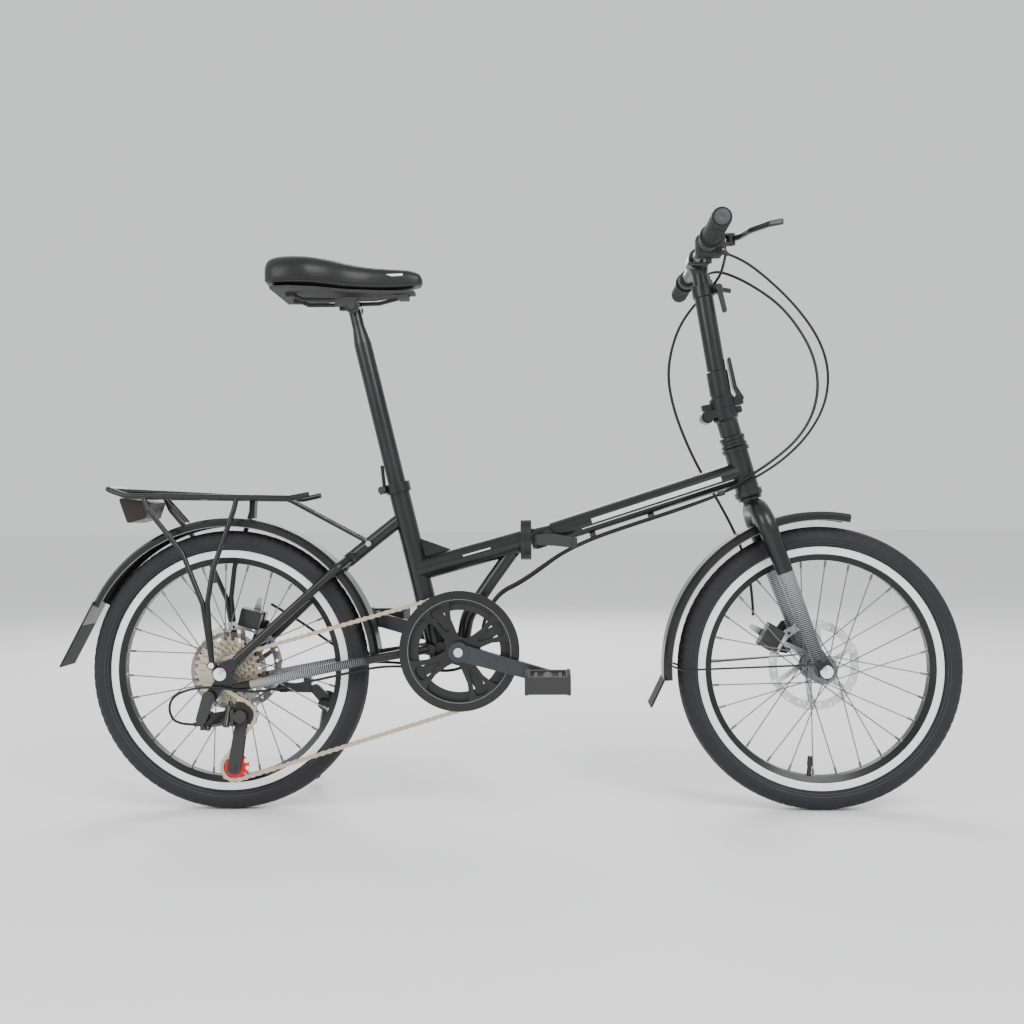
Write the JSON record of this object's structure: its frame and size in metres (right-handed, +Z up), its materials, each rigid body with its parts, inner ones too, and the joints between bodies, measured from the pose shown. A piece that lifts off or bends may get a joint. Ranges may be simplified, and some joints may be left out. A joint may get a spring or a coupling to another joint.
{
  "type": "folding_bicycle",
  "caption": "Black folding bicycle with 20-inch wheels, disc brakes, derailleur gears, mudguards, rear rack, kickstand and folding handlepost",
  "frame": {"origin": "On the ground under the middle of the bicycle's bounding box", "axes": "+X to the rear, +Y to the rider's right (the drive side), +Z up"},
  "size_m": [1.5721, 0.58, 0.9767],
  "materials": {
    "frame_paint": "satin",
    "tyre_rubber": "matte",
    "grip_rubber": "matte",
    "black_plastic": "matte",
    "gloss_black": "gloss",
    "bright_steel": "brushed",
    "chrome": "polished",
    "alloy": "satin",
    "dark_alloy": "satin",
    "gold_steel": "satin",
    "red_plastic": "gloss",
    "smoke_plastic": "clear",
    "seat_vinyl": "satin"
  },
  "bodies": {
    "rear_frame": {"rear_frame": "frame_paint", "rear_stays": "frame_paint", "bottom_bracket": "bright_steel", "rear_calliper": "dark_alloy", "rear_rack": "frame_paint", "tail_reflector": "red_plastic", "rear_mudguard": "black_plastic", "chain": "gold_steel", "kickstand_bracket": "frame_paint", "frame_bolts": "chrome", "derailleur_mount": "gloss_black", "rear_cables": "black_plastic"},
    "front_frame": {"front_frame": "frame_paint", "front_cables": "black_plastic"},
    "frame_latch": {"frame_latch": "black_plastic"},
    "fork": {"fork": "frame_paint", "stem_base": "frame_paint", "front_axle": "chrome", "front_mudguard": "black_plastic", "front_calliper": "dark_alloy"},
    "handlepost": {"handlepost": "frame_paint"},
    "post_latch": {"post_latch": "chrome"},
    "post_clamp_lever": {"post_clamp_lever": "black_plastic"},
    "inner_post": {"inner_post": "frame_paint", "handlebar": "frame_paint", "grips": "grip_rubber", "bar_controls": "black_plastic"},
    "right_brake_lever": {"right_brake_lever": "gloss_black"},
    "left_brake_lever": {"left_brake_lever": "gloss_black"},
    "shift_lever": {"shift_lever": "black_plastic"},
    "seatpost": {"seatpost": "frame_paint"},
    "seat_clamp_lever": {"seat_clamp_lever": "black_plastic"},
    "saddle": {"saddle_base": "black_plastic", "saddle_cover": "seat_vinyl"},
    "front_wheel": {"front_tyre": "tyre_rubber", "front_rim": "alloy", "front_spokes": "bright_steel", "front_hub": "alloy", "front_rotor": "bright_steel"},
    "rear_wheel": {"rear_tyre": "tyre_rubber", "rear_rim": "alloy", "rear_spokes": "bright_steel", "rear_hub": "alloy", "rear_rotor": "bright_steel", "spoke_protector": "smoke_plastic"},
    "cassette": {"cassette": "gold_steel"},
    "crank": {"right_crank": "dark_alloy", "left_crank": "dark_alloy", "chainring": "gold_steel", "chain_guard": "gloss_black"},
    "right_pedal": {"right_pedal": "black_plastic"},
    "left_pedal": {"left_pedal": "black_plastic"},
    "derailleur_link": {"derailleur_link": "gloss_black"},
    "derailleur_knuckle": {"derailleur_knuckle": "gloss_black"},
    "derailleur_cage": {"derailleur_cage": "black_plastic"},
    "guide_pulley": {"guide_pulley": "red_plastic"},
    "tension_pulley": {"tension_pulley": "red_plastic"},
    "front_brake_arm": {"front_calliper_arm": "bright_steel"},
    "rear_brake_arm": {"rear_calliper_arm": "bright_steel"},
    "kickstand": {"kickstand_leg": "frame_paint"}
  },
  "joints": [
    {"name": "frame_fold", "type": "hinge", "parent": "rear_frame", "child": "front_frame", "pos_m": [-0.034, -0.036, 0.471], "axis": [0, 0, 1], "range_deg": [0, 128], "deforming": ["front_cables", "rear_cables"]},
    {"name": "frame_latch", "type": "hinge", "parent": "front_frame", "child": "frame_latch", "pos_m": [-0.058, 0.027, 0.471], "axis": [0, 0, -1], "range_deg": [0, 110]},
    {"name": "steering", "type": "hinge", "parent": "front_frame", "child": "fork", "pos_m": [-0.4207, 0, 0.554], "axis": [0.2756, 0, 0.9613], "range_deg": [-60, 60], "deforming": ["front_cables"]},
    {"name": "handlepost_fold", "type": "hinge", "parent": "fork", "child": "handlepost", "pos_m": [-0.35075, 0, 0.68115], "axis": [0, -1, 0], "range_deg": [-100, 0], "deforming": ["front_cables"]},
    {"name": "post_latch", "type": "hinge", "parent": "handlepost", "child": "post_latch", "pos_m": [-0.40609, 0, 0.71453], "axis": [0, 1, 0], "range_deg": [-110, 0]},
    {"name": "post_clamp_lever", "type": "hinge", "parent": "handlepost", "child": "post_clamp_lever", "pos_m": [-0.37165, 0, 0.90624], "axis": [0, 1, 0], "range_deg": [0, 100]},
    {"name": "inner_post", "type": "slide", "parent": "handlepost", "child": "inner_post", "axis": [0.1616, 0, 0.9869], "range_m": [-0.015, 0.1], "deforming": ["front_cables"]},
    {"name": "right_brake_lever", "type": "hinge", "parent": "inner_post", "child": "right_brake_lever", "pos_m": [-0.37132, 0.15, 0.955], "axis": [0, 0, -1], "range_deg": [0, 20], "stiffness_Nm_per_rad": 0.8},
    {"name": "left_brake_lever", "type": "hinge", "parent": "inner_post", "child": "left_brake_lever", "pos_m": [-0.37132, -0.15, 0.955], "axis": [0, 0, 1], "range_deg": [0, 20], "stiffness_Nm_per_rad": 0.8},
    {"name": "shift_lever", "type": "hinge", "parent": "inner_post", "child": "shift_lever", "pos_m": [-0.34132, 0.112, 0.935], "axis": [0, 0, 1], "range_deg": [0, 25], "stiffness_Nm_per_rad": 0.3},
    {"name": "seatpost", "type": "slide", "parent": "rear_frame", "child": "seatpost", "axis": [-0.2334, 0, -0.9724], "range_m": [-0.04, 0.15]},
    {"name": "seat_clamp_lever", "type": "hinge", "parent": "rear_frame", "child": "seat_clamp_lever", "pos_m": [0.21796, 0, 0.559], "axis": [0, 1, 0], "range_deg": [0, 100]},
    {"name": "saddle_tilt", "type": "hinge", "parent": "seatpost", "child": "saddle", "pos_m": [0.26731, 0, 0.881], "axis": [0, 1, 0], "range_deg": [-8, 8]},
    {"name": "front_wheel_spin", "type": "hinge", "parent": "fork", "child": "front_wheel", "pos_m": [-0.541, 0, 0.245], "axis": [0, -1, 0], "continuous": true},
    {"name": "rear_wheel_spin", "type": "hinge", "parent": "rear_frame", "child": "rear_wheel", "pos_m": [0.489, 0, 0.245], "axis": [0, -1, 0], "continuous": true},
    {"name": "crank_spin", "type": "hinge", "parent": "rear_frame", "child": "crank", "pos_m": [0.08, 0, 0.282], "axis": [0, -1, 0], "continuous": true, "deforming": ["chain"]},
    {"name": "cassette_spin", "type": "hinge", "parent": "rear_frame", "child": "cassette", "pos_m": [0.489, 0, 0.245], "axis": [0, -1, 0], "continuous": true},
    {"name": "right_pedal_spin", "type": "hinge", "parent": "crank", "child": "right_pedal", "pos_m": [-0.07129, 0.134, 0.24004], "axis": [0, -1, 0], "continuous": true},
    {"name": "left_pedal_spin", "type": "hinge", "parent": "crank", "child": "left_pedal", "pos_m": [0.23129, -0.134, 0.32396], "axis": [0, -1, 0], "continuous": true},
    {"name": "derailleur_shift", "type": "hinge", "parent": "rear_frame", "child": "derailleur_link", "pos_m": [0.51354, 0.05491, 0.16287], "axis": [0, -0.5, 0.866], "range_deg": [0, 48], "stiffness_Nm_per_rad": 0.5, "deforming": ["chain", "rear_cables"]},
    {"name": "derailleur_swing", "type": "hinge", "parent": "derailleur_link", "child": "derailleur_knuckle", "pos_m": [0.477, 0.069, 0.171], "axis": [0, -0.5, 0.866], "range_deg": [-48, 0]},
    {"name": "cage_tension", "type": "hinge", "parent": "derailleur_knuckle", "child": "derailleur_cage", "pos_m": [0.454, 0, 0.173], "axis": [0, 1, 0], "range_deg": [-15, 25], "stiffness_Nm_per_rad": 0.6, "deforming": ["chain"]},
    {"name": "guide_pulley_spin", "type": "hinge", "parent": "derailleur_cage", "child": "guide_pulley", "pos_m": [0.454, 0, 0.173], "axis": [0, -1, 0], "continuous": true},
    {"name": "tension_pulley_spin", "type": "hinge", "parent": "derailleur_cage", "child": "tension_pulley", "pos_m": [0.469, 0, 0.083], "axis": [0, -1, 0], "continuous": true},
    {"name": "front_brake_arm", "type": "hinge", "parent": "fork", "child": "front_brake_arm", "pos_m": [-0.467, 0, 0.293], "axis": [0, -1, 0], "range_deg": [0, 20]},
    {"name": "rear_brake_arm", "type": "hinge", "parent": "rear_frame", "child": "rear_brake_arm", "pos_m": [0.465, 0, 0.329], "axis": [0, -1, 0], "range_deg": [0, 20]},
    {"name": "kickstand", "type": "hinge", "parent": "rear_frame", "child": "kickstand", "pos_m": [0.335, -0.069, 0.176], "axis": [-0.1568, -0.8108, 0.5639], "range_deg": [0, 77.9]}
  ],
  "couplings": [
    {"joint": "cassette_spin", "follows": "crank_spin", "ratio": 4.3636},
    {"joint": "guide_pulley_spin", "follows": "crank_spin", "ratio": -4.3636},
    {"joint": "tension_pulley_spin", "follows": "crank_spin", "ratio": 4.3636},
    {"joint": "derailleur_swing", "follows": "derailleur_shift", "ratio": -1},
    {"joint": "front_brake_arm", "follows": "right_brake_lever", "ratio": 1},
    {"joint": "rear_brake_arm", "follows": "left_brake_lever", "ratio": 1}
  ]
}
